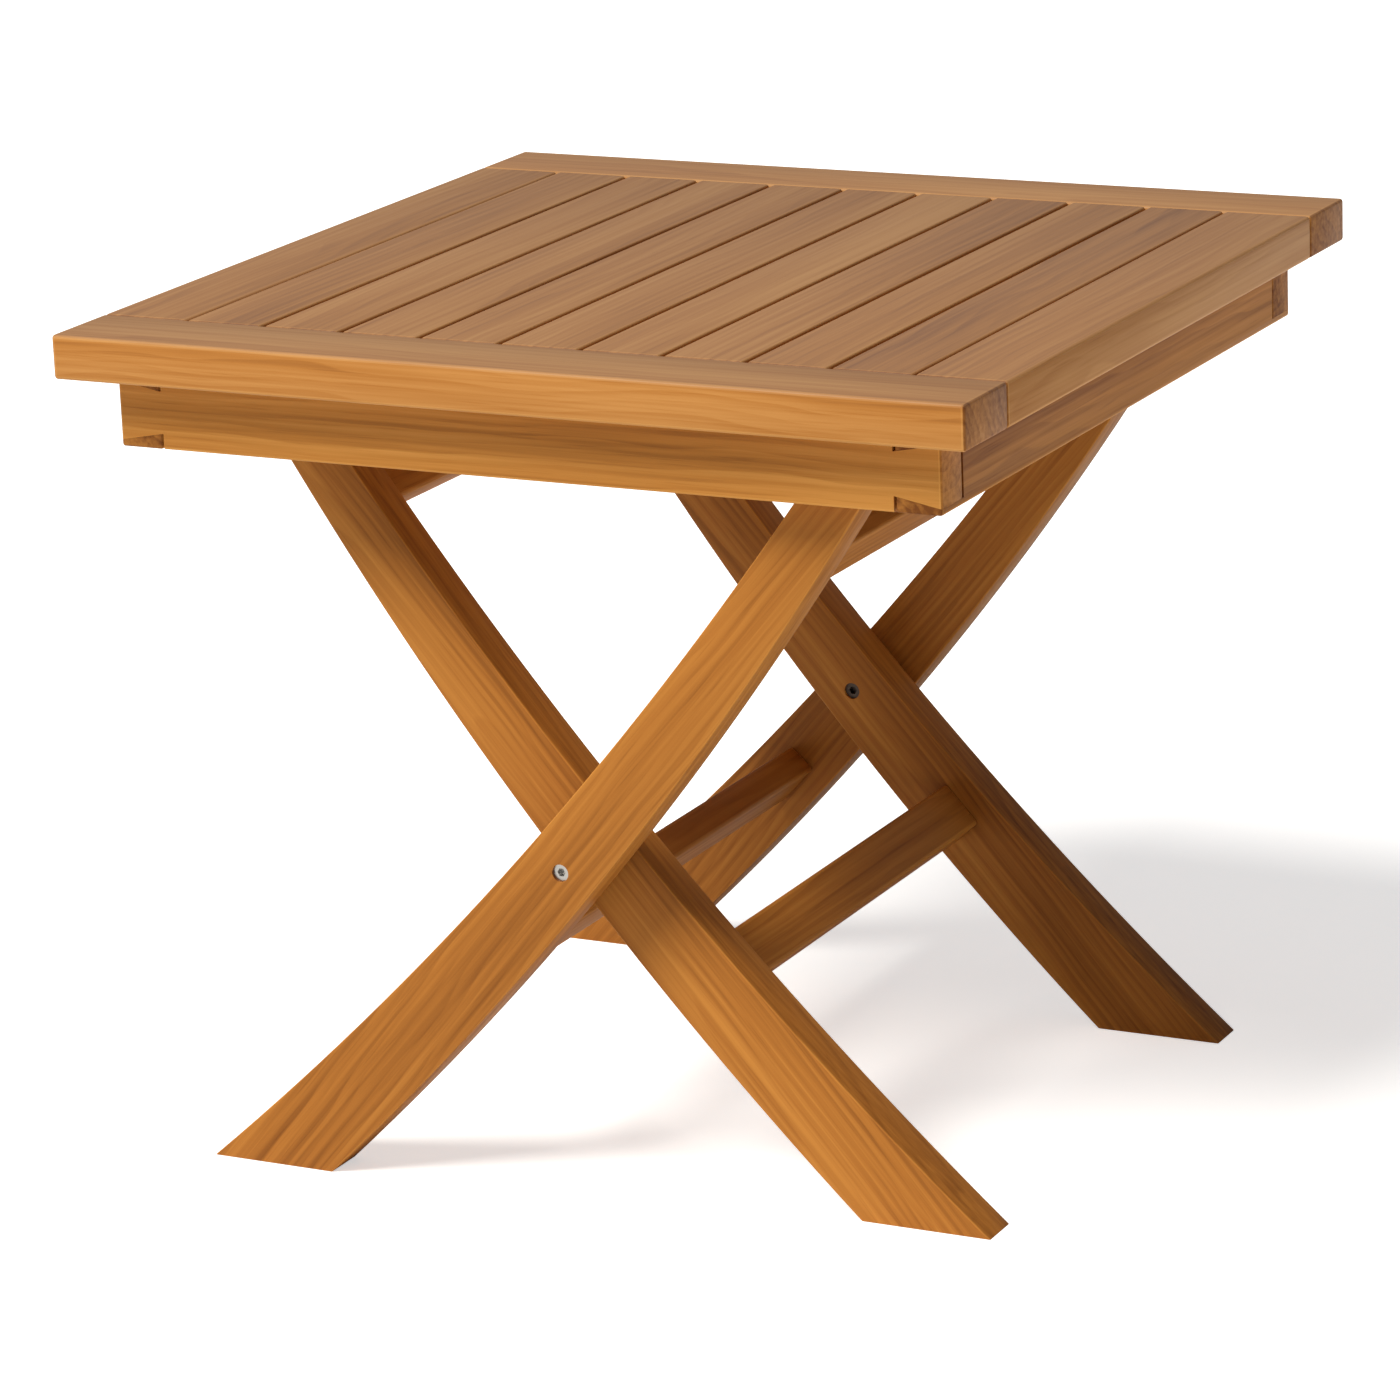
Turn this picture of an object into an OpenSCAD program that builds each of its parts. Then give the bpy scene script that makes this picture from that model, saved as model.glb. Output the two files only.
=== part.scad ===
// Folding slatted teak picnic table.
// X runs left to right along the front, Y runs front to back, Z is up.
// The origin is on the ground, under the middle of the square top.

/* [Table] */
// Width and depth of the square top
top_size = 500; // [480:1:540]
// Height of the top surface above the ground
table_h = 450; // [440:1:470]

/* [Top] */
// Thickness of the boards of the top
top_t = 23; // [20:0.5:26]
// Width of the front and back end boards
end_board_w = 50; // [44:1:56]
// Width of the left and right side rails
side_rail_w = 48; // [42:1:54]
// Number of slats between the side rails
slat_n = 9; // [9]
// Open joint beside each slat
slat_gap = 3; // [1.5:0.5:4]
// Thickness of the tongues on the slats and side rails
tongue_t = 8; // [6:0.5:10]
// Length of the tongues
tongue_len = 10; // [6:1:14]

/* [Apron] */
// Distance from the edge of the top to the apron
apron_inset = 23; // [18:1:26]
// Height of the apron boards
apron_h = 38; // [34:1:42]
// Thickness of the apron boards
apron_t = 24; // [20:1:26]
// Height of a dovetail pin at the end of the tail
pin_tip_h = 3.5; // [2:0.5:5]
// Height of a dovetail pin at the root of the tail
pin_root_h = 8; // [6:0.5:10]

/* [Cleats] */
// Thickness of the cleats, measured off the apron
cleat_t = 14.5; // [12:0.5:15]
// Height of the cleats
cleat_h = 20; // [16:1:22]
// Length of the front and back cleats
long_cleat = 290; // [270:5:290]
// Length of the left and right cleats
short_cleat = 240; // [180:10:250]

/* [Legs] */
// Thickness of every leg
leg_t = 24; // [20:1:26]
// Free space between an outer leg and the inner leg beside it
leg_gap = 12.6; // [4:0.2:16]
// Free space between an outer leg and the apron board beside it
apron_gap = 0.4; // [0.3:0.1:2]
// Distance of the foot's heel from the middle of the table
heel_x = 144; // [138:1:150]
// Distance of the foot's toe from the middle of the table
toe_x = 215; // [208:1:222]
// Horizontal width of a leg at its top end
leg_top_w = 33; // [32:1:38]
// Sideways distance from the scissor pivot to the hinge rod and the lock dowel
hook_x = 170; // [166:1:172]
// Height of the hinge rod and the lock dowel
hook_z = 405; // [402:1:406]
// Bow of the leg's edges away from a straight line
leg_bow = 17; // [6:1:20]
// Radius of the rounded leg end
leg_end_r = 15; // [14:0.5:16]

/* [Cross rails] */
// Width of a cross rail along the leg
rail_w = 28; // [24:1:30]
// Thickness of a cross rail
rail_t = 18; // [16:1:20]
// Sideways distance from the scissor pivot to a lower rail
low_rail_x = 59; // [54:1:62]
// Height of the lower rails
low_rail_z = 116; // [108:1:118]
// Sideways distance from the scissor pivot to an upper rail
high_rail_x = 140; // [136:1:142]
// Height of the upper rails
high_rail_z = 352; // [346:1:355]
// Depth of the rail tenons in the legs
tenon_len = 14; // [10:1:16]

/* [Hinge and lock] */
// Height of the scissor pivot
pivot_z = 180; // [175:1:185]
// Diameter of the hinge rod
hinge_rod_d = 10; // [8:1:10]
// Diameter of the lock dowel
lock_dowel_d = 14; // [12:1:14]
// Play between the lock dowel and the slot in the leg, on each side
slot_play = 0.6; // [0.4:0.1:1]
// Direction in which the slot opens, in degrees above level, leaning outwards
slot_angle = 52; // [48:1:58]

/* [Pivot fasteners] */
// Diameter of the head of the pivot screw and of the sleeve nut
pivot_head_d = 9; // [8:0.5:10]
// Diameter of the pivot screw's shank
pivot_shank_d = 6; // [5:1:6]
// Diameter of the sleeve nut's barrel
sleeve_d = 8; // [8]
// Depth of the heads below the face of the leg
pivot_recess = 1.5; // [1:0.5:3]
// Diameter of the spacers between the legs
spacer_d = 20; // [16:1:24]

/* [Hidden] */

$fn = 64;
top_half = top_size / 2;
top_under = table_h - top_t;
tongue_z = table_h - top_t / 2;
slat_len = top_size - 2 * end_board_w;
slat_field = top_size - 2 * side_rail_w;
slat_pitch = slat_field / slat_n;
slat_w = slat_pitch - slat_gap;
// The groove in an end board stops this far from the board's end
groove_stop = 14;
// A side rail's tongue has 1 mm of play at each end, along the groove
side_tongue_w = side_rail_w - 2 * (groove_stop + 1);
// Tongues and tenons are this much smaller than their groove or mortise, all round
glue_line = 0.1;

apron_half = top_half - apron_inset;
apron_inner = apron_half - apron_t;
apron_z = top_under - apron_h;

// Faces of the legs, as distances from the middle of the table
outer_face_y = apron_inner - apron_gap;
outer_inner_y = outer_face_y - leg_t;
inner_face_y = outer_inner_y - leg_gap;
inner_inner_y = inner_face_y - leg_t;

// Radial play of a shaft that turns in its hole, and of a glued or screwed one
running_play = 0.05;
fixed_play = 0.02;

// Wood screws
screw_d = 4;
screw_head_d = 8;
screw_head_h = 2.6;
cleat_screw_len = 32;
apron_screw_len = 28;
cleat_screw_y = apron_inner - cleat_t / 2;
long_screw_slats = [-3, -1, 1, 3];
short_screw_y = [-80, 0, 80];
apron_screw_x = [-110, 0, 110];
apron_screw_y = [-100, -40, 40, 100];
// The sideways screws miss the upright ones by sitting lower in the cleat
apron_screw_drop = 13;

// Shoulders that a rail has round its tenon
shoulder_w = 5;
shoulder_t = 4;
tenon_w = rail_w - 2 * shoulder_w;
tenon_t = rail_t - 2 * shoulder_t;
// A mortise is this much deeper than its tenon
mortise_play = 0.5;

// Depth of the hinge rod's and lock dowel's seats in the apron, and their play at each end
rod_seat = 12;
rod_end_play = 1;

// Heads, sockets and bore of the pivot screws and sleeve nuts
head_h = 4;
head_play = 0.5;
recess_depth = pivot_recess + head_h + head_play;
socket_depth = 3;
socket_across_flats = 4;
// Distance from a nut's face to the end of its bore, and from there to the screw's tip
nut_web = 6;
screw_tip_play = 2;
// Distance from an inner leg's inner face to the end of the sleeve, and to the end of its hole
sleeve_setback = 9;
sleeve_hole_setback = 8;
// Free space at each end of a pivot spacer
spacer_play = 0.1;
// How far the leg's cutting outline stands clear of its curved edges
outline_margin = 60;

// Colours
teak_top = [0.72, 0.50, 0.34];
teak_edge = [0.78, 0.52, 0.26];
teak_leg = [0.75, 0.48, 0.23];
teak_dark = [0.55, 0.33, 0.18];
steel = [0.72, 0.72, 0.70];

// Radius of an arc from its chord and its bow
function arc_radius(chord, bow) = (chord * chord / 4 + bow * bow) / (2 * bow);

// Centre of the arc through two points, bowed to the left of the line from a to b
function arc_centre(a, b, bow) =
    let (chord = norm(b - a), r = arc_radius(chord, bow), u = (b - a) / chord)
    (a + b) / 2 + [u[1], -u[0]] * (r - bow);

// ---------- Top ----------

module board(x, y, z, w, d, h) {
    translate([x - w / 2, y - d / 2, z])
        cube([w, d, h]);
}

module groove(side) {
    translate([0, side * (slat_len / 2 + tongue_len / 2), tongue_z])
        cube([top_size - 2 * groove_stop, tongue_len, tongue_t], center = true);
}

module end_board(side) {
    color(teak_edge)
        difference() {
            board(0, side * (top_half - end_board_w / 2), top_under, top_size, end_board_w, top_t);
            groove(side);
        }
}

module tongued_board(x, w, tongue_w) {
    len = slat_len + 2 * (tongue_len - glue_line);
    board(x, 0, top_under, w, slat_len, top_t);
    translate([x, 0, tongue_z])
        cube([tongue_w, len, tongue_t - 2 * glue_line], center = true);
}

module side_rail(side) {
    color(teak_edge)
        tongued_board(side * (top_half - side_rail_w / 2), side_rail_w, side_tongue_w);
}

module slat(i) {
    x = (i - (slat_n + 1) / 2) * slat_pitch;
    color(teak_top)
        difference() {
            tongued_board(x, slat_w, slat_w);
            cleat_screw_set(running_play);
        }
}

// ---------- Apron ----------

// The dovetail at each end of a front or back board, seen from the front
module tail_2d() {
    for (s = [-1, 1])
        polygon([
            [s * apron_inner, apron_z + pin_root_h],
            [s * apron_half, apron_z + pin_tip_h],
            [s * apron_half, top_under - pin_tip_h],
            [s * apron_inner, top_under - pin_root_h]
        ]);
}

module tails(side) {
    translate([0, side * (apron_half - apron_t / 2), 0])
        rotate([90, 0, 0])
            linear_extrude(apron_t, center = true)
                tail_2d();
}

// Blind holes for the hinge rod and the lock dowel
module rod_seats(play) {
    for (rod = [[hook_x, hinge_rod_d], [-hook_x, lock_dowel_d]])
        translate([rod[0], 0, hook_z])
            rotate([90, 0, 0])
                cylinder(d = rod[1] + 2 * play, h = 2 * (apron_inner + rod_seat), center = true);
}

module long_apron(side) {
    color(teak_edge)
        difference() {
            union() {
                board(0, side * (apron_half - apron_t / 2), apron_z, 2 * apron_inner, apron_t, apron_h);
                tails(side);
            }
            rod_seats(fixed_play);
            apron_screw_set(running_play);
        }
}

module short_apron(side) {
    color(teak_dark)
        difference() {
            board(side * (apron_half - apron_t / 2), 0, apron_z, apron_t, 2 * apron_half, apron_h);
            tails(-1);
            tails(1);
            apron_screw_set(running_play);
        }
}

// ---------- Cleats and their screws ----------

module cleat(w, d, x, y) {
    color(teak_dark)
        difference() {
            board(x, y, top_under - cleat_h, w, d, cleat_h);
            cleat_screw_set(running_play);
            apron_screw_set(running_play);
        }
}

// A countersunk wood screw along +Z, with its head's face on the origin
module wood_screw(len, play) {
    cylinder(d = screw_d + 2 * play, h = len + play);
    cylinder(d1 = screw_head_d + 2 * play, d2 = screw_d + 2 * play, h = screw_head_h);
}

// Screws that go up through the cleats into the slats
module cleat_screw_set(play) {
    for (s = [-1, 1]) {
        for (i = long_screw_slats)
            translate([i * slat_pitch, s * cleat_screw_y, top_under - cleat_h])
                wood_screw(cleat_screw_len, play);
        for (y = short_screw_y)
            translate([s * cleat_screw_y, y, top_under - cleat_h])
                wood_screw(cleat_screw_len, play);
    }
}

// Screws that go sideways through the cleats into the apron boards
module apron_screw_set(play) {
    z = top_under - apron_screw_drop;
    for (s = [-1, 1]) {
        for (x = apron_screw_x)
            translate([x, s * (apron_inner - cleat_t), z])
                rotate([-s * 90, 0, 0])
                    wood_screw(apron_screw_len, play);
        for (y = apron_screw_y)
            translate([s * (apron_inner - cleat_t), y, z])
                rotate([0, s * 90, 0])
                    wood_screw(apron_screw_len, play);
    }
}

module cleat_screws() {
    color(steel)
        cleat_screw_set(0);
}

module apron_screws() {
    color(steel)
        apron_screw_set(0);
}

// ---------- Hinge rod and lock dowel ----------

// A shaft across the table at the hook height
module cross_shaft(x, d, len) {
    translate([x, 0, hook_z])
        rotate([90, 0, 0])
            cylinder(d = d, h = len, center = true);
}

module lock_dowel() {
    color(teak_leg)
        cross_shaft(-hook_x, lock_dowel_d, 2 * (apron_inner + rod_seat - rod_end_play));
}

module hinge_rod() {
    color(steel)
        cross_shaft(hook_x, hinge_rod_d, 2 * (apron_inner + rod_seat - rod_end_play));
}

// ---------- Leg frames ----------

// Side view of a leg whose foot is on the right and whose top is on the left
module leg_blank_2d() {
    top_in = [-hook_x + leg_top_w / 2, hook_z];
    top_out = [-hook_x - leg_top_w / 2, hook_z];
    heel = [heel_x, 0];
    toe = [toe_x, 0];
    low_c = arc_centre(heel, top_out, leg_bow);
    low_r = arc_radius(norm(heel - top_out), leg_bow);
    high_c = arc_centre(toe, top_in, leg_bow);
    high_r = arc_radius(norm(toe - top_in), leg_bow);
    intersection() {
        difference() {
            translate(low_c)
                circle(r = low_r, $fn = 360);
            translate(high_c)
                circle(r = high_r, $fn = 360);
        }
        union() {
            polygon([
                [-hook_x - outline_margin, hook_z],
                [-hook_x + outline_margin, hook_z],
                [toe_x + outline_margin, 0],
                [heel_x - outline_margin, 0]
            ]);
            translate([-hook_x, hook_z])
                circle(r = leg_end_r);
        }
    }
}

// Angle of the leg where a rail meets it, taken from the scissor pivot
function rail_tilt(x, z) = atan2(z - pivot_z, x);

// A cross rail's section, turned to lie along the leg
module rail_section(x, z, w, t) {
    translate([x, z])
        rotate(rail_tilt(x, z))
            square([w, t], center = true);
}

module mortises_2d() {
    rail_section(low_rail_x, low_rail_z, tenon_w, tenon_t);
    rail_section(-high_rail_x, high_rail_z, tenon_w, tenon_t);
}

// Turns a side view into a solid between two distances from the middle of the table
module between(y0, y1) {
    translate([0, y1, 0])
        rotate([90, 0, 0])
            linear_extrude(y1 - y0)
                children();
}

module pivot_hole(d, y0, y1) {
    translate([0, y1, pivot_z])
        rotate([90, 0, 0])
            cylinder(d = d, h = y1 - y0);
}

// Leg on the back of the table, the front one is its mirror image
module inner_leg_back() {
    color(teak_leg)
        difference() {
            between(inner_inner_y, inner_face_y)
                difference() {
                    leg_blank_2d();
                    lock_slot_2d();
                }
            between(inner_inner_y - 1, inner_inner_y + tenon_len + mortise_play)
                mortises_2d();
            pivot_hole(sleeve_d + 2 * running_play, inner_inner_y + sleeve_hole_setback, inner_face_y + 1);
            pivot_hole(pivot_shank_d + 2 * head_play, inner_inner_y, inner_face_y);
            pivot_hole(pivot_head_d + 2 * running_play, inner_inner_y - 1, inner_inner_y + recess_depth);
        }
}

// Open slot that drops over the lock dowel
module lock_slot_2d() {
    slot_w = lock_dowel_d + 2 * slot_play;
    translate([-hook_x, hook_z]) {
        circle(d = slot_w);
        rotate(180 - slot_angle)
            translate([0, -slot_w / 2])
                square([2 * leg_end_r, slot_w]);
    }
}

module outer_leg_back() {
    color(teak_leg)
        mirror([1, 0, 0])
            difference() {
                between(outer_inner_y, outer_face_y)
                    leg_blank_2d();
                between(outer_inner_y - 1, outer_inner_y + tenon_len + mortise_play)
                    mortises_2d();
                pivot_hole(sleeve_d + 2 * fixed_play, outer_inner_y - 1, outer_face_y);
                pivot_hole(
                    pivot_head_d + 2 * fixed_play,
                    outer_face_y - pivot_recess - head_h,
                    outer_face_y + 1
                );
                cross_shaft(-hook_x, hinge_rod_d + 2 * running_play, top_size);
            }
}

// A cross rail with a tenon on each end, between legs whose inner faces are at y
module cross_rail(x, z, y) {
    between(-y, y)
        rail_section(x, z, rail_w, rail_t);
    between(-y - tenon_len, y + tenon_len)
        rail_section(x, z, tenon_w - 2 * glue_line, tenon_t - 2 * glue_line);
}

module inner_rail_lower() {
    color(teak_dark)
        cross_rail(low_rail_x, low_rail_z, inner_inner_y);
}

module inner_rail_upper() {
    color(teak_dark)
        cross_rail(-high_rail_x, high_rail_z, inner_inner_y);
}

module outer_rail_lower() {
    color(teak_dark)
        mirror([1, 0, 0])
            cross_rail(low_rail_x, low_rail_z, outer_inner_y);
}

module outer_rail_upper() {
    color(teak_dark)
        mirror([1, 0, 0])
            cross_rail(-high_rail_x, high_rail_z, outer_inner_y);
}

// ---------- Scissor pivots ----------

// Both pivots, the back one as drawn and the front one mirrored
module front_and_back() {
    children();
    mirror([0, 1, 0])
        children();
}

module pivot_sleeve_nuts() {
    head_y = outer_face_y - pivot_recess;
    color(steel)
        front_and_back()
            difference() {
                union() {
                    pivot_hole(sleeve_d, inner_inner_y + sleeve_setback, head_y - 1);
                    pivot_hole(pivot_head_d, head_y - head_h, head_y);
                }
                pivot_hole(pivot_shank_d + 2 * fixed_play, inner_inner_y, head_y - nut_web);
                hex_socket(head_y - socket_depth, head_y + 1);
            }
}

module pivot_screws() {
    head_y = inner_inner_y + pivot_recess;
    tip_y = outer_face_y - pivot_recess - nut_web - screw_tip_play;
    color(steel)
        front_and_back()
            difference() {
                union() {
                    pivot_hole(pivot_head_d, head_y, head_y + head_h);
                    pivot_hole(pivot_shank_d, head_y + 1, tip_y);
                }
                hex_socket(head_y - 1, head_y + socket_depth);
            }
}

// Six-sided socket for a key
module hex_socket(y0, y1) {
    translate([0, y1, pivot_z])
        rotate([90, 0, 0])
            cylinder(d = socket_across_flats / cos(30), h = y1 - y0, $fn = 6);
}

// Sleeves that hold each inner leg away from the outer leg beside it
module pivot_spacers() {
    color(steel)
        front_and_back()
            difference() {
                pivot_hole(spacer_d, inner_face_y + spacer_play, outer_inner_y - spacer_play);
                pivot_hole(sleeve_d + 4 * running_play, inner_face_y, outer_inner_y);
            }
}

end_board(-1);  // end_board_front
end_board(1);  // end_board_back
side_rail(-1);  // side_rail_left
side_rail(1);  // side_rail_right
for (i = [1:slat_n])
    slat(i);
long_apron(-1);  // apron_front
long_apron(1);  // apron_back
short_apron(-1);  // apron_left
short_apron(1);  // apron_right
cleat(long_cleat, cleat_t, 0, -cleat_screw_y);  // cleat_front
cleat(long_cleat, cleat_t, 0, cleat_screw_y);  // cleat_back
cleat(cleat_t, short_cleat, -cleat_screw_y, 0);  // cleat_left
cleat(cleat_t, short_cleat, cleat_screw_y, 0);  // cleat_right
cleat_screws();
apron_screws();
lock_dowel();
hinge_rod();
mirror([0, 1, 0]) outer_leg_back();  // outer_leg_front
outer_leg_back();
outer_rail_upper();
outer_rail_lower();
mirror([0, 1, 0]) inner_leg_back();  // inner_leg_front
inner_leg_back();
inner_rail_upper();
inner_rail_lower();
pivot_sleeve_nuts();
pivot_screws();
pivot_spacers();
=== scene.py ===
import math
import random

import bpy
from mathutils import Matrix, Vector


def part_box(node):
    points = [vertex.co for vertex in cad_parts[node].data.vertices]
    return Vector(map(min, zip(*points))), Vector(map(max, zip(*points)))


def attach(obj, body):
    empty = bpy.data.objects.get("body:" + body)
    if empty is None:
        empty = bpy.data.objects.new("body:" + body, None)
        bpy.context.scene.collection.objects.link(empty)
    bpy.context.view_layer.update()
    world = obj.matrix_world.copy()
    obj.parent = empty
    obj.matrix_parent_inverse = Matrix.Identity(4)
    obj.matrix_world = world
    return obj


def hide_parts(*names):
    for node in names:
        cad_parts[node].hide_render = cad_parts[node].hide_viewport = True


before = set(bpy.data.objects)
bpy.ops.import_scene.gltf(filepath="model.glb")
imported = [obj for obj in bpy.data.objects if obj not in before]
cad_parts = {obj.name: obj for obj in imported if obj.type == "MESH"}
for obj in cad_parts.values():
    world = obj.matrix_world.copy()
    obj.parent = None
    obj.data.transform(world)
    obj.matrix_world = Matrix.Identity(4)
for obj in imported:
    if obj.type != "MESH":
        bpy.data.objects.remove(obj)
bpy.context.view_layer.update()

MM = 0.001


# ---------------------------------------------------------------------------
# Outer legs. Two curved legs bandsawn from 24 mm teak plank, planed and oiled,
# with eased arrises, a foot sawn flat to the ground and a round top end that is
# bored for the hinge rod.
# ---------------------------------------------------------------------------

# Sizes are in mm. Places on a leg are (x, z), for a leg with its foot at the right
HEEL = (144, 0)
TOE = (215, 0)
HOOK = (-170, 405)
PIVOT = (0, 180)
LEG_TOP_W = 33
LEG_END_R = 15
LEG_BOW = 17
LEG_ARRIS = 2.2
LEG_ARC_SHARE = 0.985
LEG_ARC_SLICES = 30
LEG_END_SLICES = 7
LEG_END_TURN = math.radians(84)
HEAD_D = 9.1
HEAD_DEPTH = 6
BARREL_D = 8.1
HINGE_ROD_D = 10
HINGE_PLAY = 0.1
LOCK_DOWEL_D = 14
LOW_RAIL = (59, 116)
HIGH_RAIL = (-140, 352)
TENON = 14
TENON_W = 18
TENON_T = 10
RING_WIDTH = 5.2
RING_WANDER = 45
# Grey of the painted sheen: the reflection of the pale surround, mixed into the colour of upward faces
PAINTED_SHEEN_COLOUR = "#8E7B6C"
RIGHT = Vector((1, 0, 0))
BACK = Vector((0, 1, 0))
UP = Vector((0, 0, 1))


def linear(colour):
    """Turns an sRGB hex colour into the linear one that a shader takes."""
    parts = [int(colour[i:i + 2], 16) / 255 for i in (1, 3, 5)]
    return [p / 12.92 if p <= 0.04045 else ((p + 0.055) / 1.055) ** 2.4 for p in parts] + [1.0]


def add_node(tree, kind, settings=None, links=None):
    """Adds a node, sets its properties and inputs, and links its inputs."""
    node = tree.nodes.new(kind)
    for key, value in (settings or {}).items():
        if isinstance(key, int) or key in node.inputs:
            node.inputs[key].default_value = value
        else:
            setattr(node, key, value)
    for key, source in (links or {}).items():
        tree.links.new(source, node.inputs[key])
    return node


def fibre(tree, log, per_metre_along, per_metre_across, detail):
    """Noise drawn out along the fibres, from 0 to 1."""
    stretch = (per_metre_along, per_metre_across, per_metre_across)
    at = add_node(tree, "ShaderNodeVectorMath", {"operation": "MULTIPLY", 1: stretch}, {0: log})
    settings = {"Scale": 1.0, "Detail": detail}
    return add_node(tree, "ShaderNodeTexNoise", settings, {"Vector": at.outputs[0]}).outputs["Fac"]


def times_plus(tree, value, factor, rest):
    """value * factor + rest, where rest is a number or a socket."""
    node = add_node(tree, "ShaderNodeMath", {"operation": "MULTIPLY_ADD", 1: factor}, {0: value})
    if isinstance(rest, (int, float)):
        node.inputs[2].default_value = rest
    else:
        tree.links.new(rest, node.inputs[2])
    return node.outputs[0]


def growth_rings(tree, log):
    """Growth rings round a pith that lies outside the board: how much late wood there is at each
    point, and a tone for each year."""
    section = add_node(tree, "ShaderNodeVectorMath", {"operation": "MULTIPLY", 1: (0, 1, 1)}, {0: log})
    radius = add_node(tree, "ShaderNodeVectorMath", {"operation": "LENGTH"}, {0: section.outputs[0]})
    wander = fibre(tree, log, 3.0, 14.0, 3.0)
    strayed = times_plus(tree, wander, RING_WANDER * MM, radius.outputs["Value"])
    rings = times_plus(tree, strayed, 1 / (RING_WIDTH * MM), 0.0)
    season = add_node(tree, "ShaderNodeMath", {"operation": "FRACT"}, {0: rings}).outputs[0]
    year = add_node(tree, "ShaderNodeMath", {"operation": "FLOOR"}, {0: rings}).outputs[0]
    year_tone = add_node(tree, "ShaderNodeTexWhiteNoise", {"noise_dimensions": "1D"}, {"W": year})
    rise = {"From Min": 0.2, "From Max": 0.9, "interpolation_type": "SMOOTHSTEP"}
    fall = {"From Min": 0.92, "From Max": 1.0, "To Min": 1.0, "To Max": 0.0}
    late_in = add_node(tree, "ShaderNodeMapRange", rise, {"Value": season}).outputs[0]
    late_out = add_node(tree, "ShaderNodeMapRange", fall, {"Value": season}).outputs[0]
    late = add_node(tree, "ShaderNodeMath", {"operation": "MULTIPLY"}, {0: late_in, 1: late_out})
    return late.outputs[0], year_tone.outputs["Value"]


def with_painted_sheen(tree, brown):
    """The brown with a pale grey mixed over it on upward faces: a painted sheen that stands for the pale
    surround reflected in them.
    """
    painted_sheen = add_node(tree, "ShaderNodeAttribute", {"attribute_name": "painted_sheen"}).outputs["Fac"]
    sheen_mix = add_node(tree, "ShaderNodeMix", {"data_type": "RGBA"}, {0: painted_sheen, 6: brown})
    sheen_mix.inputs[7].default_value = linear(PAINTED_SHEEN_COLOUR)
    return sheen_mix.outputs[2]


def oiled_teak(name, pale, middle, dark, roughness):
    """Teak, planed, sanded and oiled. Soft growth lines and long streaks run along the board, fine
    dark pores lie in them, end grain drinks more oil and goes darker, and the arrises are paler,
    partly from sanding and partly as a painted highlight. The pores are drawn about three times
    their real 0.3 mm, so that they show."""
    material = bpy.data.materials.new(name)
    material.use_nodes = True
    tree = material.node_tree
    shader = tree.nodes["Principled BSDF"]
    log = add_node(tree, "ShaderNodeAttribute", {"attribute_name": "grain"}).outputs["Vector"]
    cut = add_node(tree, "ShaderNodeAttribute", {"attribute_name": "cut"}).outputs["Vector"]
    kind = add_node(tree, "ShaderNodeSeparateXYZ", links={0: cut})

    late, year_tone = growth_rings(tree, log)
    # Streaks 3 mm wide, broad bands 40 mm wide, and pores 1 mm wide
    streak = fibre(tree, log, 4.0, 330.0, 3.0)
    band = fibre(tree, log, 2.2, 26.0, 2.0)
    pore = fibre(tree, log, 26.0, 1000.0, 1.0)
    in_pore = {"From Min": 0.60, "From Max": 0.74}
    pore_dark = add_node(tree, "ShaderNodeMapRange", in_pore, {"Value": pore}).outputs[0]

    # How far each mark takes the wood from pale to dark
    marks = (
        (streak, 0.34), (band, 0.52), (late, 0.055), (year_tone, 0.035), (pore_dark, 0.05),
        # The negative arris weight makes rounded arrises paler: partly sanding, partly a painted
        # highlight
        (kind.outputs["X"], 0.16), (kind.outputs["Y"], -0.10), (kind.outputs["Z"], 0.16))
    depth = 0.02
    for mark, weight in marks:
        depth = times_plus(tree, mark, weight, depth)
    ramp = add_node(tree, "ShaderNodeValToRGB", links={0: depth})
    ramp.color_ramp.elements[0].position = 0.32
    ramp.color_ramp.elements[0].color = linear(pale)
    ramp.color_ramp.elements[1].position = 0.76
    ramp.color_ramp.elements[1].color = linear(dark)
    ramp.color_ramp.elements.new(0.52).color = linear(middle)
    tree.links.new(with_painted_sheen(tree, ramp.outputs["Color"]), shader.inputs["Base Color"])
    tree.links.new(times_plus(tree, streak, 0.16, roughness - 0.08), shader.inputs["Roughness"])
    relief = times_plus(tree, late, 0.5, times_plus(tree, pore_dark, -1.0, streak))
    bump = add_node(tree, "ShaderNodeBump", {"Strength": 0.3, "Distance": 0.05 * MM}, {"Height": relief})
    tree.links.new(bump.outputs["Normal"], shader.inputs["Normal"])
    shader.inputs["IOR"].default_value = 1.45
    shader.inputs["Specular IOR Level"].default_value = 0.15
    return material


def box_mm(node):
    """Lowest and highest corner of a node of the frame, in mm."""
    low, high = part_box(node)
    return low / MM, high / MM


def only(piece):
    """Leaves one piece selected and active, so that operators act on it alone."""
    bpy.ops.object.select_all(action="DESELECT")
    piece.select_set(True)
    bpy.context.view_layer.objects.active = piece


def apply_place(piece):
    """Fixes a piece's place, turn and size into its mesh."""
    only(piece)
    bpy.ops.object.transform_apply(location=True, rotation=True, scale=True)


def finish_modifier(piece, modifier):
    """Applies a modifier, so that none is left on the piece."""
    only(piece)
    bpy.ops.object.modifier_apply(modifier=modifier.name)


def ease(piece, radius):
    """Rounds every arris of a piece, as sanding does."""
    bevel = piece.modifiers.new("arris", "BEVEL")
    bevel.width = radius * MM
    bevel.segments = 3
    bevel.limit_method = "ANGLE"
    bevel.angle_limit = math.radians(40)
    finish_modifier(piece, bevel)


def saw(piece, cutter):
    """Takes a cutter's shape out of a piece and removes the cutter. A cutter runs 1 mm or more
    past each face that it opens."""
    cut = piece.modifiers.new("cut", "BOOLEAN")
    cut.operation = "DIFFERENCE"
    cut.solver = "EXACT"
    cut.object = cutter
    finish_modifier(piece, cut)
    only(cutter)
    bpy.ops.object.delete()


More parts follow.
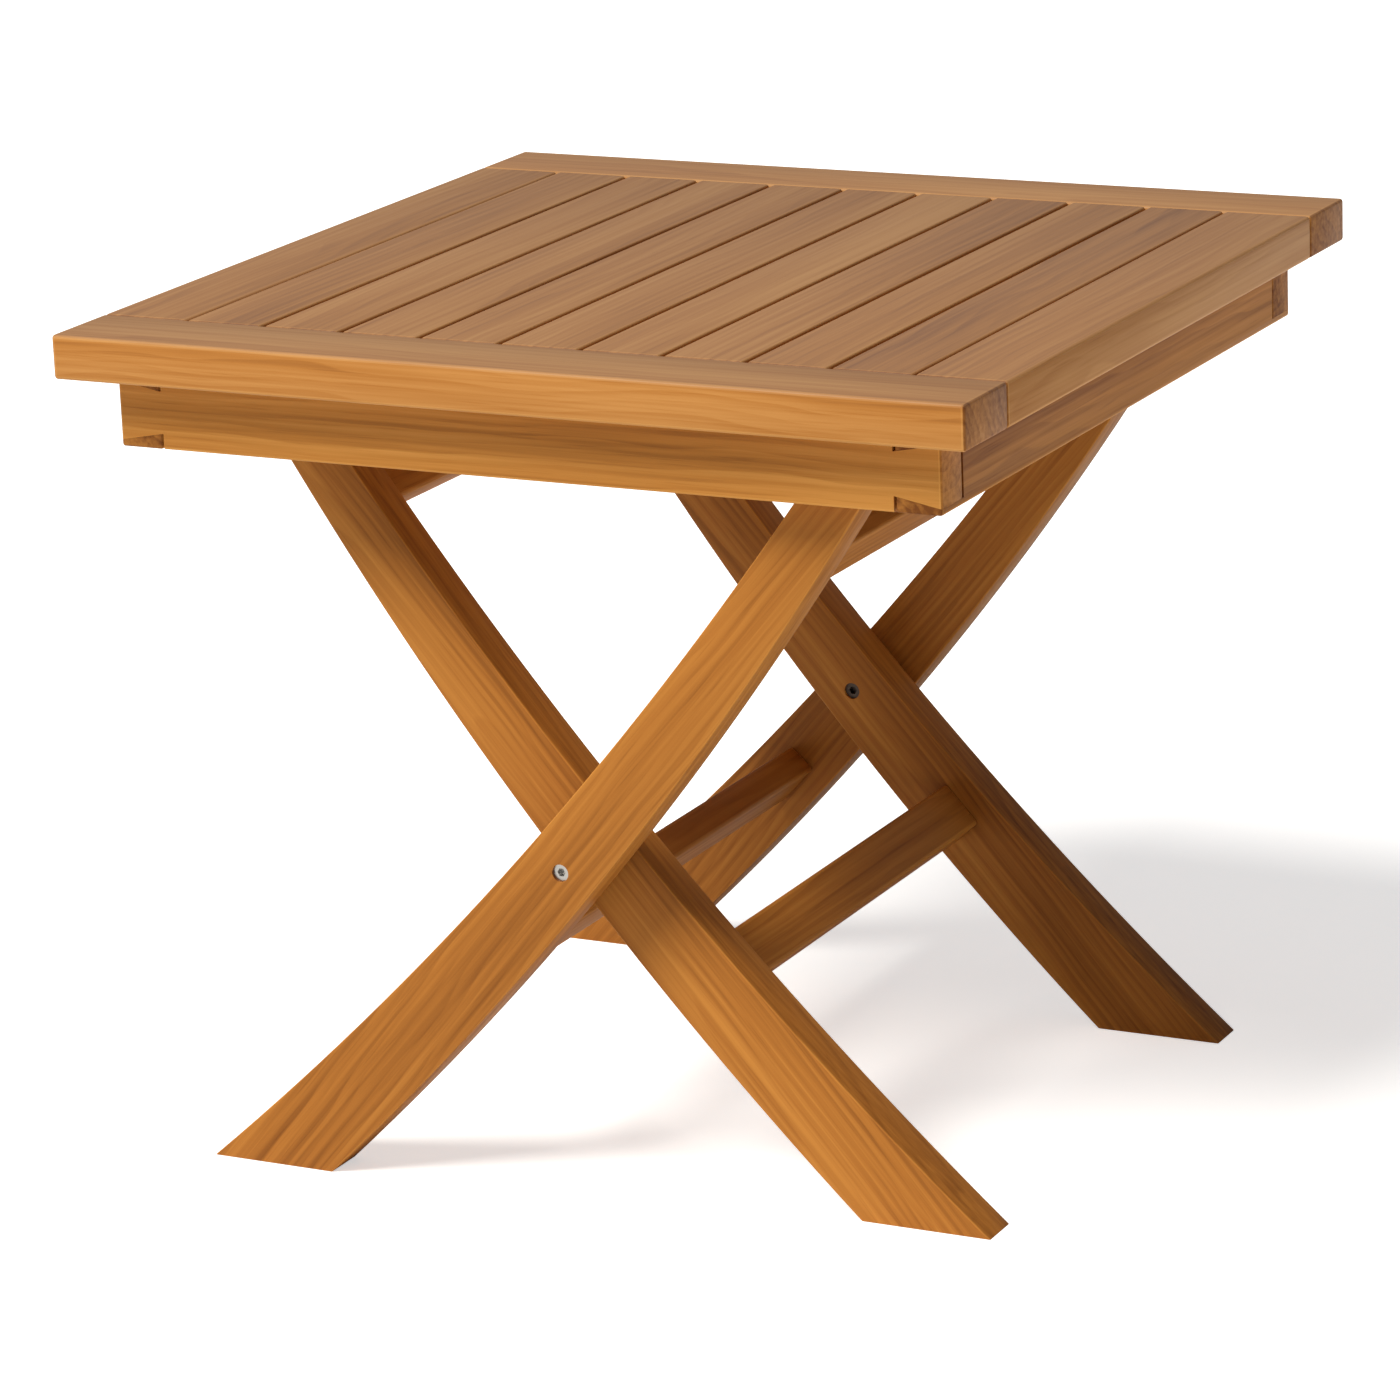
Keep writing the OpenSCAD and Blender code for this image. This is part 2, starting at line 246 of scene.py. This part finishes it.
def rod(name, x, z, y0, y1, diameter, sides=48):
    """A round rod along Y, in mm."""
    bpy.ops.mesh.primitive_cylinder_add(
        vertices=sides, radius=diameter / 2 * MM, depth=abs(y1 - y0) * MM,
        location=(x * MM, (y0 + y1) / 2 * MM, z * MM), rotation=(math.pi / 2, 0, 0))
    piece = bpy.context.object
    piece.name = name
    apply_place(piece)
    return piece


def lay_grain(piece, along, through, seed, tone=0.0, sheen_share=0.0):
    """Gives a piece its own wood: where each point lay in the log, which faces are end grain or
    arris, how dark the board is, and how much painted sheen its upward faces get. The fibres run
    along one direction, and the board is thin through the other."""
    mesh = piece.data
    along = along.normalized()
    through = through.normalized()
    across = through.cross(along)
    # Somewhere along the log, 35 to 90 mm to one side of its pith and 8 to 50 mm above it
    lot = random.Random(seed)
    in_log = Vector((lot.uniform(0, 4), lot.uniform(0.035, 0.090), lot.uniform(0.008, 0.050)))
    middle = sum((Vector(corner) for corner in piece.bound_box), Vector()) / 8
    grain = mesh.attributes.new("grain", "FLOAT_VECTOR", "POINT")
    for i, vertex in enumerate(mesh.vertices):
        p = vertex.co - middle
        grain.data[i].vector = in_log + Vector((p.dot(along), p.dot(across), p.dot(through)))
    # A face within 10 degrees of square is flat, and any other is an arris
    cut = mesh.attributes.new("cut", "FLOAT_VECTOR", "FACE")
    for i, face in enumerate(mesh.polygons):
        lines_up = [abs(face.normal.dot(axis)) for axis in (along, across, through)]
        end = 1.0 if lines_up[0] > 0.6 else 0.0
        arris = 1.0 if max(lines_up) < 0.985 and not end else 0.0
        cut.data[i].vector = (end, arris, tone)
    # Painted sheen: upward faces get grey mixed into their colour, more the more they face up
    painted_sheen = mesh.attributes.new("painted_sheen", "FLOAT", "FACE")
    for i, face in enumerate(mesh.polygons):
        painted_sheen.data[i].value = sheen_share * max(0.0, face.normal.z)


def show(piece, body, material, slot, *nodes):
    """Finishes a piece: its material, its shading, the body it rides on and the node it stands for."""
    piece.data.materials.clear()
    piece.data.materials.append(material)
    only(piece)
    bpy.ops.object.shade_smooth_by_angle(angle=math.radians(35))
    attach(piece, body)
    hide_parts(*nodes)


def on_arc(start, end, bow, share):
    """The point a share of the way along an arc, bowed to the left of its chord by bow."""
    start, end = Vector(start), Vector(end)
    chord = (end - start).length
    radius = (chord ** 2 / 4 + bow ** 2) / (2 * bow)
    along = (end - start) / chord
    centre = (start + end) / 2 + Vector((along.y, -along.x)) * (radius - bow)
    half = math.asin(chord / 2 / radius)
    turn = Matrix.Rotation(half * (1 - 2 * share), 2)
    return centre + turn @ (Vector((-along.y, along.x)) * radius)


def leg_edge(share, side):
    """A point on a leg's low edge (side -1) or high edge (side 1), from the foot to the hook."""
    if side < 0:
        return on_arc(HEEL, (HOOK[0] - LEG_TOP_W / 2, HOOK[1]), LEG_BOW, share)
    return on_arc(TOE, (HOOK[0] + LEG_TOP_W / 2, HOOK[1]), LEG_BOW, share)


def turned_block(x, y, z, length, depth, height, tilt):
    """A block turned about Y, in mm, to saw with."""
    bpy.ops.mesh.primitive_cube_add(size=1, location=(x * MM, y * MM, z * MM), rotation=(0, -tilt, 0))
    block = bpy.context.object
    block.scale = Vector((length, depth, height)) * MM
    apply_place(block)
    return block


def rail_tilt(at, mirrored):
    """Angle of a leg where a cross rail meets it, taken from the scissor pivot."""
    tilt = math.atan2(at[1] - PIVOT[1], at[0])
    return math.pi - tilt if mirrored else tilt


def chop_mortises(leg, inside, side, mirrored):
    """Two blind mortises in a leg's inner face, for the tenons of its cross rails."""
    for at in (LOW_RAIL, HIGH_RAIL):
        tilt = rail_tilt(at, mirrored)
        x = -at[0] if mirrored else at[0]
        middle = inside + side * (TENON - 1) / 2
        saw(leg, turned_block(x, middle, at[1], TENON_W, TENON + 2, TENON_T, tilt))


def leg_blank(name, y0, y1, mirrored):
    """A curved leg between two planes: a bar cut into slices, each slice set on the two arcs and,
    past the end of the arcs, round the hook."""
    slices = LEG_ARC_SLICES + LEG_END_SLICES
    bpy.ops.object.select_all(action="DESELECT")
    bpy.ops.mesh.primitive_cube_add(size=1)
    piece = bpy.context.object
    piece.name = name
    bpy.ops.object.mode_set(mode="EDIT")
    bpy.ops.mesh.select_all(action="DESELECT")
    bpy.ops.mesh.select_mode(type="EDGE")
    bpy.ops.object.mode_set(mode="OBJECT")
    for edge in piece.data.edges:
        ends = [piece.data.vertices[v].co for v in edge.vertices]
        edge.select = abs(ends[0].x - ends[1].x) > 0.5
    bpy.ops.object.mode_set(mode="EDIT")
    bpy.ops.mesh.subdivide(number_cuts=slices - 1)
    bpy.ops.object.mode_set(mode="OBJECT")
    hook = Vector(HOOK)
    up_leg = (leg_edge(1, 1) - leg_edge(0.9, 1)).normalized()
    for vertex in piece.data.vertices:
        step = round((vertex.co.x + 0.5) * slices)
        side = 1 if vertex.co.y > 0 else -1
        if step <= LEG_ARC_SLICES:
            place = leg_edge(LEG_ARC_SHARE * step / LEG_ARC_SLICES, side)
        else:
            turn = LEG_END_TURN * (step - LEG_ARC_SLICES) / LEG_END_SLICES
            out = Vector((up_leg.y, -up_leg.x)) * side
            place = hook + LEG_END_R * (math.cos(turn) * out + math.sin(turn) * up_leg)
        x = -place.x if mirrored else place.x
        vertex.co = Vector((x, y1 if vertex.co.z > 0 else y0, place.y)) * MM
    only(piece)
    bpy.ops.object.mode_set(mode="EDIT")
    bpy.ops.mesh.select_all(action="SELECT")
    bpy.ops.mesh.normals_make_consistent(inside=False)
    bpy.ops.object.mode_set(mode="OBJECT")
    ease(piece, LEG_ARRIS)
    return piece


leg_teak = oiled_teak("oiled teak, legs", "#C4843A", "#A86A2A", "#6F3D13", 0.5)
outer_chord = Vector((-HOOK[0] + (HEEL[0] + TOE[0]) / 2, 0, HOOK[1]))

for place, side, seed, tone in (("front", -1, 11, 0.0), ("back", 1, 12, 0.3)):
    low, high = box_mm("outer_leg_" + place)
    inside, outside = sorted((low.y, high.y), key=abs)
    leg = leg_blank("curved_leg_outer_" + place, low.y, high.y, mirrored=True)
    chop_mortises(leg, inside, side, mirrored=True)
    saw(leg, rod("drill", PIVOT[0], PIVOT[1], inside - side, outside + side, BARREL_D))
    saw(leg, rod("drill", PIVOT[0], PIVOT[1], outside - side * HEAD_DEPTH, outside + side, HEAD_D))
    saw(leg, rod("drill", -HOOK[0], HOOK[1], inside - side, outside + side, HINGE_ROD_D + HINGE_PLAY))
    lay_grain(leg, outer_chord, BACK, seed, tone)
    show(leg, "outer_frame", leg_teak, "teak_leg", "outer_leg_" + place)


# ---------------------------------------------------------------------------
# Outer cross rails. Two straight 28 x 18 mm teak rails between the outer legs,
# with eased edges and a tenon at each end that is glued into the leg.
# ---------------------------------------------------------------------------

RAIL_W = 28
RAIL_T = 18
RAIL_ARRIS = 2.0


def select_end(piece, normal):
    """Selects the one flat face that looks along a direction and lies furthest out, in edit mode."""
    only(piece)
    bpy.ops.object.mode_set(mode="EDIT")
    bpy.ops.mesh.select_mode(type="FACE")
    bpy.ops.mesh.select_all(action="DESELECT")
    bpy.ops.object.mode_set(mode="OBJECT")
    facing = [f for f in piece.data.polygons if f.normal.dot(normal) > 0.999]
    end = max(facing, key=lambda f: (round(f.center.dot(normal), 5), f.area))
    end.select = True
    middle = Vector(end.center)
    bpy.ops.object.mode_set(mode="EDIT")
    return middle


def tenon(piece, normal, length, shrink):
    """Draws the end face in to a tenon's section and out by its length. A negative length makes a
    mortise or a groove."""
    middle = select_end(piece, normal)
    bpy.ops.mesh.extrude_region_move()
    bpy.ops.transform.resize(value=shrink, center_override=middle)
    bpy.ops.mesh.extrude_region_move(TRANSFORM_OT_translate={"value": normal * length * MM})
    bpy.ops.object.mode_set(mode="OBJECT")


def plank(name, low, high, arris):
    """A planed board between two corners, in mm, with its arrises eased."""
    low, high = Vector(low), Vector(high)
    bpy.ops.mesh.primitive_cube_add(size=1, location=(low + high) / 2 * MM)
    piece = bpy.context.object
    piece.name = name
    piece.scale = (high - low) * MM
    apply_place(piece)
    ease(piece, arris)
    return piece


def cross_rail(name, at, half_length, mirrored):
    """A rail along Y with a tenon at each end, turned to lie along its leg."""
    tilt = rail_tilt(at, mirrored)
    x = -at[0] if mirrored else at[0]
    half = Vector((RAIL_W / 2, half_length, RAIL_T / 2))
    piece = plank(name, -half, half, RAIL_ARRIS)
    for side in (-1, 1):
        tenon(piece, BACK * side, TENON, (TENON_W / RAIL_W, 1, TENON_T / RAIL_T))
    piece.rotation_euler = (0, -tilt, 0)
    piece.location = Vector((x, 0, at[1])) * MM
    apply_place(piece)
    return piece, Vector((-math.sin(tilt), 0, math.cos(tilt)))


for place, at, seed, tone in (("lower", LOW_RAIL, 21, 0.3), ("upper", HIGH_RAIL, 22, 0.1)):
    between_legs = box_mm("outer_leg_back")[0].y
    rail, through = cross_rail("rail_outer_" + place, at, between_legs, mirrored=True)
    lay_grain(rail, BACK, through, seed, tone)
    show(rail, "outer_frame", leg_teak, "teak_leg", "outer_rail_" + place)


# ---------------------------------------------------------------------------
# Scissor pivots. Turned stainless sleeve nuts pressed into the outer legs, and
#  dull socket screws through the inner legs, their steel painted dark as the shade
#  in their deep recesses, both sunk below the wood, with a turned sleeve in the gap
#  between the legs.
# ---------------------------------------------------------------------------


def brushed_stainless(name, dark, pale, roughness):
    """Stainless bar, turned and lightly brushed: a grey, even metal with fine marks that spread
    the light. The marks are drawn 0.4 mm apart, so that they show."""
    material = bpy.data.materials.new(name)
    material.use_nodes = True
    tree = material.node_tree
    shader = tree.nodes["Principled BSDF"]
    place = add_node(tree, "ShaderNodeTexCoord").outputs["Object"]
    stretch = {"operation": "MULTIPLY", 1: (300, 2500, 300)}
    marks_at = add_node(tree, "ShaderNodeVectorMath", stretch, {0: place}).outputs[0]
    settings = {"Scale": 1.0, "Detail": 2.0}
    marks = add_node(tree, "ShaderNodeTexNoise", settings, {"Vector": marks_at}).outputs["Fac"]
    ramp = add_node(tree, "ShaderNodeValToRGB", links={0: marks})
    ramp.color_ramp.elements[0].color = linear(dark)
    ramp.color_ramp.elements[1].color = linear(pale)
    tree.links.new(ramp.outputs["Color"], shader.inputs["Base Color"])
    tree.links.new(times_plus(tree, marks, 0.2, roughness - 0.1), shader.inputs["Roughness"])
    bump = add_node(tree, "ShaderNodeBump", {"Strength": 0.2, "Distance": 0.02 * MM}, {"Height": marks})
    tree.links.new(bump.outputs["Normal"], shader.inputs["Normal"])
    shader.inputs["Metallic"].default_value = 1.0
    return material


stainless = brushed_stainless("brushed stainless steel", "#B4B1AC", "#D8D6D2", 0.34)
# The pivot screws' steel is painted dark: painted shade for their deep recesses
shade_darkened_steel = brushed_stainless("steel darkened as painted shade, pivot screws", "#4A413A", "#6B6058", 0.55)


def finish_node(node, material):
    """Gives a node of the frame its real finish."""
    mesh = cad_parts[node].data
    mesh.materials.clear()
    mesh.materials.append(material)


for node in ("pivot_sleeve_nuts", "pivot_spacers"):
    finish_node(node, stainless)
finish_node("pivot_screws", shade_darkened_steel)


# ---------------------------------------------------------------------------
# Inner legs. The same curved leg, the other way round and inside the outer ones,
# with an open slot in its top end that drops over the lock dowel.
# ---------------------------------------------------------------------------

SLOT_W = 15.2
SLOT_ANGLE = math.radians(52)

inner_chord = Vector((HOOK[0] - (HEEL[0] + TOE[0]) / 2, 0, HOOK[1]))

for place, side, seed, tone in (("front", -1, 31, 0.0), ("back", 1, 32, 0.2)):
    low, high = box_mm("inner_leg_" + place)
    inside, outside = sorted((low.y, high.y), key=abs)
    leg = leg_blank("curved_leg_inner_" + place, low.y, high.y, mirrored=False)
    chop_mortises(leg, inside, side, mirrored=False)
    saw(leg, rod("drill", PIVOT[0], PIVOT[1], inside - side, outside + side, BARREL_D))
    saw(leg, rod("drill", PIVOT[0], PIVOT[1], inside - side, inside + side * HEAD_DEPTH, HEAD_D))
    saw(leg, rod("drill", HOOK[0], HOOK[1], inside - side, outside + side, SLOT_W))
    reach = 2 * LEG_END_R
    opening = Vector((-math.cos(SLOT_ANGLE), 0, math.sin(SLOT_ANGLE))) * reach / 2
    mouth = turned_block(
        HOOK[0] + opening.x, (inside + outside) / 2, HOOK[1] + opening.z,
        reach, abs(outside - inside) + 2, SLOT_W, -SLOT_ANGLE)
    saw(leg, mouth)
    lay_grain(leg, inner_chord, BACK, seed, tone)
    show(leg, "inner_frame", leg_teak, "teak_leg", "inner_leg_" + place)


# ---------------------------------------------------------------------------
# Inner cross rails. The same rails as on the outer frame, shorter, between the
# inner legs.
# ---------------------------------------------------------------------------

for place, at, seed, tone in (("lower", LOW_RAIL, 41, 0.2), ("upper", HIGH_RAIL, 42, 0.0)):
    between_legs = box_mm("inner_leg_back")[0].y
    rail, through = cross_rail("rail_inner_" + place, at, between_legs, mirrored=False)
    lay_grain(rail, BACK, through, seed, tone)
    show(rail, "inner_frame", leg_teak, "teak_leg", "inner_rail_" + place)


# ---------------------------------------------------------------------------
# Apron. Four 38 x 24 mm teak boards under the top, joined at the corners with
# one wide through dovetail each. The front and back boards carry the tails, and
# the side boards carry the thin pins above and below them.
# ---------------------------------------------------------------------------

TOP_HALF = 250
TOP_Z = 450
TOP_T = 23
UNDER_TOP = TOP_Z - TOP_T
APRON_HALF = 227
APRON_T = 24
APRON_IN = APRON_HALF - APRON_T
APRON_LOW = 389
APRON_ARRIS = 1.4
BLIND_HOLE = 12
SAW_PAST = 5
PIN_TIP = 3.5
PIN_ROOT = 8
GLUE_LINE = 0.12

apron_teak = oiled_teak("oiled teak, apron", "#D4964A", "#B97A34", "#764318", 0.5)


def wedge(name, root, tip, side, y):
    """A prism through an apron corner. Its edge heights are root at the inner face of the side
    board and tip at the outer one."""
    bpy.ops.object.select_all(action="DESELECT")
    bpy.ops.mesh.primitive_cube_add(size=1)
    piece = bpy.context.object
    piece.name = name
    for vertex in piece.data.vertices:
        at_tip = vertex.co.x > 0
        heights = tip if at_tip else root
        z = heights[1] if vertex.co.z > 0 else heights[0]
        # The prism runs a little past both faces, on the same slope
        x = side * (APRON_HALF + 1 if at_tip else APRON_IN - 1)
        vertex.co = Vector((x, y + vertex.co.y * (APRON_T + 2), z)) * MM
    only(piece)
    bpy.ops.object.mode_set(mode="EDIT")
    bpy.ops.mesh.select_all(action="SELECT")
    bpy.ops.mesh.normals_make_consistent(inside=False)
    bpy.ops.object.mode_set(mode="OBJECT")
    return piece


slope = (PIN_ROOT - PIN_TIP) / APRON_T
low_root, low_tip = APRON_LOW + PIN_ROOT + slope, APRON_LOW + PIN_TIP - slope
high_root, high_tip = UNDER_TOP - PIN_ROOT - slope, UNDER_TOP - PIN_TIP + slope

for place, side, seed in (("front", -1, 51), ("back", 1, 52)):
    y0, y1 = sorted((side * APRON_IN, side * APRON_HALF))
    low, high = (-APRON_HALF, y0, APRON_LOW), (APRON_HALF, y1, UNDER_TOP)
    board = plank("apron_board_" + place, low, high, APRON_ARRIS)
    under, over = APRON_LOW - SAW_PAST, UNDER_TOP + SAW_PAST
    for end in (-1, 1):
        saw(board, wedge("saw", (under, low_root), (under, low_tip), end, (y0 + y1) / 2))
        saw(board, wedge("saw", (high_root, over), (high_tip, over), end, (y0 + y1) / 2))
    for x, diameter in ((-HOOK[0], HINGE_ROD_D), (HOOK[0], LOCK_DOWEL_D)):
        y_out = side * (APRON_IN + BLIND_HOLE)
        saw(board, rod("drill", x, HOOK[1], side * (APRON_IN - 1), y_out, diameter))
    lay_grain(board, RIGHT, BACK, seed, -0.1)
    show(board, "top", apron_teak, "teak_apron", "apron_" + place)

for place, side, seed in (("left", -1, 53), ("right", 1, 54)):
    x0, x1 = sorted((side * APRON_IN, side * APRON_HALF))
    low, high = (x0, -APRON_HALF, APRON_LOW), (x1, APRON_HALF, UNDER_TOP)
    board = plank("apron_board_" + place, low, high, APRON_ARRIS)
    root = (low_root - GLUE_LINE, high_root + GLUE_LINE)
    tip = (low_tip - GLUE_LINE, high_tip + GLUE_LINE)
    for y in (-(APRON_IN + APRON_HALF) / 2, (APRON_IN + APRON_HALF) / 2):
        saw(board, wedge("saw", root, tip, side, y))
    lay_grain(board, BACK, RIGHT, seed, 0.35)
    show(board, "top", apron_teak, "teak_apron", "apron_" + place)


# ---------------------------------------------------------------------------
# Top frame. Two end boards run the full width, and two side rails butt between
# them, on tongues that sit in a groove. All are 23 mm teak with eased arrises.
# ---------------------------------------------------------------------------

END_BOARD_W = 50
SIDE_RAIL_W = 48
SLAT_END = TOP_HALF - END_BOARD_W
TONGUE_T = 8
TONGUE = 10
GROOVE_STOP = 14
SIDE_TONGUE_SHARE = 0.36
TOP_ARRIS = 1.8

top_teak = oiled_teak("oiled teak, top", "#CB9150", "#B27536", "#784318", 0.42)
# How much painted sheen, a grey mixed into the colour, the upward faces of the top get
PAINTED_SHEEN_SHARE = 0.42

for place, side, seed in (("front", -1, 61), ("back", 1, 62)):
    y0, y1 = sorted((side * SLAT_END, side * TOP_HALF))
    board = plank("top_end_board_" + place, (-TOP_HALF, y0, UNDER_TOP), (TOP_HALF, y1, TOP_Z), TOP_ARRIS)
    groove = ((TOP_HALF - GROOVE_STOP) / TOP_HALF, 1, TONGUE_T / TOP_T)
    tenon(board, BACK * -side, -TONGUE, groove)
    lay_grain(board, RIGHT, UP, seed, -0.2, PAINTED_SHEEN_SHARE)
    show(board, "top", top_teak, "teak_top", "end_board_" + place)

for place, side, seed in (("left", -1, 63), ("right", 1, 64)):
    x0, x1 = sorted((side * (TOP_HALF - SIDE_RAIL_W), side * TOP_HALF))
    board = plank("top_side_rail_" + place, (x0, -SLAT_END, UNDER_TOP), (x1, SLAT_END, TOP_Z), TOP_ARRIS)
    for end in (-1, 1):
        tenon(board, BACK * end, TONGUE, (SIDE_TONGUE_SHARE, 1, TONGUE_T / TOP_T))
    lay_grain(board, BACK, UP, seed, 0.1, PAINTED_SHEEN_SHARE)
    show(board, "top", top_teak, "teak_top", "side_rail_" + place)


# ---------------------------------------------------------------------------
# Slats. Nine teak slats, 42 mm wide with an open joint of 3 mm beside each, on
# tongues in the same groove. They come from different planks, so their tone
# and figure differ.
# ---------------------------------------------------------------------------

SLATS = 9
SLAT_GAP = 3
SLAT_ARRIS = 1.3
SLAT_TONES = (0.05, 0.25, -0.15, 0.1, 0.0, -0.1, 0.3, 0.05, 0.45)

pitch = 2 * (TOP_HALF - SIDE_RAIL_W) / SLATS
half = (pitch - SLAT_GAP) / 2

for i in range(SLATS):
    x = (i - (SLATS - 1) / 2) * pitch
    low, high = (x - half, -SLAT_END, UNDER_TOP), (x + half, SLAT_END, TOP_Z)
    slat = plank("top_slat_%d" % (i + 1), low, high, SLAT_ARRIS)
    for end in (-1, 1):
        tenon(slat, BACK * end, TONGUE, (1, 1, TONGUE_T / TOP_T))
    lay_grain(slat, BACK, UP, 70 + i, SLAT_TONES[i], PAINTED_SHEEN_SHARE)
    show(slat, "top", top_teak, "teak_top", "slat_%d" % (i + 1))


# ---------------------------------------------------------------------------
# Cleats. Four plain teak battens in the corner between apron and top, held with
# countersunk steel screws up into the slats and sideways into the apron.
# ---------------------------------------------------------------------------

CLEAT_T = 14.5
CLEAT_H = 20
LONG_CLEAT = 290
SHORT_CLEAT = 240
CLEAT_ARRIS = 1.0
# Slats counted from the middle one, then places along a batten
SLAT_SCREWS = (-3, -1, 1, 3)
OUTER_SLAT_SCREWS = (-80, 0, 80)
LONG_APRON_SCREWS = (-110, 0, 110)
SHORT_APRON_SCREWS = (-100, -40, 40, 100)
APRON_SCREW_DROP = 13
HEAD_HOLE_R = 4.1
SHANK_HOLE_R = 2.1
COUNTERSINK = 2.7

inside_teak = oiled_teak("sanded teak, unseen parts", "#BE8B52", "#9B6634", "#683C18", 0.58)
low_cleat = UNDER_TOP - CLEAT_H
screw_z = UNDER_TOP - APRON_SCREW_DROP


def countersink(piece, places, direction):
    """Cones and shanks sunk for wood screws: 8 mm heads on 4 mm shanks."""
    # Each hole is its radius at the start and at the end, then where it starts and ends
    head = (HEAD_HOLE_R, SHANK_HOLE_R, -0.01, COUNTERSINK)
    shank = (SHANK_HOLE_R, SHANK_HOLE_R, 2.0, CLEAT_H + 2)
    for place in places:
        for radius_1, radius_2, start, end in (head, shank):
            bpy.ops.mesh.primitive_cone_add(
                vertices=24, radius1=radius_1 * MM, radius2=radius_2 * MM, depth=(end - start) * MM,
                location=(Vector(place) + direction * (start + end) / 2) * MM,
                rotation=direction.to_track_quat("Z", "Y").to_euler())
            drill = bpy.context.object
            apply_place(drill)
            saw(piece, drill)


for place, side, seed in (("front", -1, 81), ("back", 1, 82)):
    y0, y1 = sorted((side * (APRON_IN - CLEAT_T), side * APRON_IN))
    low, high = (-LONG_CLEAT / 2, y0, low_cleat), (LONG_CLEAT / 2, y1, UNDER_TOP)
    batten = plank("batten_" + place, low, high, CLEAT_ARRIS)
    countersink(batten, [(i * pitch, (y0 + y1) / 2, low_cleat) for i in SLAT_SCREWS], UP)
    face = side * (APRON_IN - CLEAT_T)
    countersink(batten, [(x, face, screw_z) for x in LONG_APRON_SCREWS], BACK * side)
    lay_grain(batten, RIGHT, BACK, seed)
    show(batten, "top", inside_teak, "teak_inside", "cleat_" + place)

for place, side, seed in (("left", -1, 83), ("right", 1, 84)):
    x0, x1 = sorted((side * (APRON_IN - CLEAT_T), side * APRON_IN))
    low, high = (x0, -SHORT_CLEAT / 2, low_cleat), (x1, SHORT_CLEAT / 2, UNDER_TOP)
    batten = plank("batten_" + place, low, high, CLEAT_ARRIS)
    countersink(batten, [((x0 + x1) / 2, y, low_cleat) for y in OUTER_SLAT_SCREWS], UP)
    face = side * (APRON_IN - CLEAT_T)
    countersink(batten, [(face, y, screw_z) for y in SHORT_APRON_SCREWS], RIGHT * side)
    lay_grain(batten, BACK, RIGHT, seed)
    show(batten, "top", inside_teak, "teak_inside", "cleat_" + place)

for node in ("cleat_screws", "apron_screws"):
    finish_node(node, stainless)


# ---------------------------------------------------------------------------
# Hinge rod and lock dowel. A stainless rod across the table carries the outer
# legs, and a teak dowel at the other end is what the inner legs hook onto. Both
# sit in blind holes in the front and back apron boards.
# ---------------------------------------------------------------------------

DOWEL_ARRIS = 1.0

finish_node("hinge_rod", stainless)

low, high = box_mm("lock_dowel")
dowel = rod("lock_bar", HOOK[0], HOOK[1], low.y, high.y, high.z - low.z, sides=64)
ease(dowel, DOWEL_ARRIS)
lay_grain(dowel, BACK, UP, 91)
show(dowel, "top", inside_teak, "teak_inside", "lock_dowel")


# ---------------------------------------------------------------------------
# Studio. A white matt floor, one broad soft light from high on the front left,
# and an even pale surround. The camera stands in front, to the right, a little
# above the top.
# ---------------------------------------------------------------------------

FLOOR_SIZE = 40
CAMERA_AIM = Vector((-0.0216, 0, 0.2122))
CAMERA_DISTANCE = 3.0172
CAMERA_AZIMUTH = math.radians(27.23)
CAMERA_ELEVATION = math.radians(16.25)
CAMERA_ROLL = math.radians(-2.25)
CAMERA_LENS = 145.83
SENSOR_WIDTH = 36
LIGHT_AZIMUTH = math.radians(-27)
LIGHT_ELEVATION = math.radians(52)
LIGHT_STRENGTH = 3.6
LIGHT_SPREAD = math.radians(26)
SURROUND_STRENGTH = 0.2
FLOOR_GLOW = 0.55

bpy.ops.object.select_all(action="DESELECT")
bpy.ops.mesh.primitive_plane_add(size=FLOOR_SIZE)
floor = bpy.context.object
floor.name = "studio_floor"
paint = bpy.data.materials.new("matt white paint")
paint.use_nodes = True
coat = paint.node_tree.nodes["Principled BSDF"]
coat.inputs["Base Color"].default_value = linear("#FBFBFA")
coat.inputs["Roughness"].default_value = 0.9
coat.inputs["Emission Color"].default_value = linear("#FFFFFF")
# The glow whitens the floor as the camera sees it, and lights nothing
seen = add_node(paint.node_tree, "ShaderNodeLightPath")
glow = add_node(paint.node_tree, "ShaderNodeMath", {"operation": "MULTIPLY", 1: FLOOR_GLOW},
                {0: seen.outputs["Is Camera Ray"]})
paint.node_tree.links.new(glow.outputs[0], coat.inputs["Emission Strength"])
floor.data.materials.append(paint)

world = bpy.context.scene.world or bpy.data.worlds.new("studio")
bpy.context.scene.world = world
world.use_nodes = True
sky = world.node_tree.nodes["Background"]
sky.inputs["Color"].default_value = linear("#FAFBFF")
sky.inputs["Strength"].default_value = SURROUND_STRENGTH

bpy.ops.object.light_add(type="SUN")
key = bpy.context.object
key.data.energy = LIGHT_STRENGTH
key.data.angle = LIGHT_SPREAD
key.data.color = linear("#FFFCF6")[:3]


def from_round(azimuth, elevation):
    """The direction towards a place seen from the table: azimuth 0 is the front."""
    flat = math.cos(elevation)
    return Vector((math.sin(azimuth) * flat, -math.cos(azimuth) * flat, math.sin(elevation)))


key.rotation_euler = from_round(LIGHT_AZIMUTH, LIGHT_ELEVATION).to_track_quat("Z", "Y").to_euler()

bpy.ops.object.camera_add()
camera = bpy.context.object
camera.data.lens = CAMERA_LENS
camera.data.sensor_width = SENSOR_WIDTH
towards = from_round(CAMERA_AZIMUTH, CAMERA_ELEVATION)
level = UP.cross(towards).normalized()
upright = towards.cross(level)
sideways = math.cos(CAMERA_ROLL) * level + math.sin(CAMERA_ROLL) * upright
axes = Matrix((sideways, towards.cross(sideways), towards)).transposed()
camera.matrix_world = Matrix.Translation(CAMERA_AIM + towards * CAMERA_DISTANCE) @ axes.to_4x4()
bpy.context.scene.camera = camera
bpy.context.scene.view_settings.view_transform = "Standard"
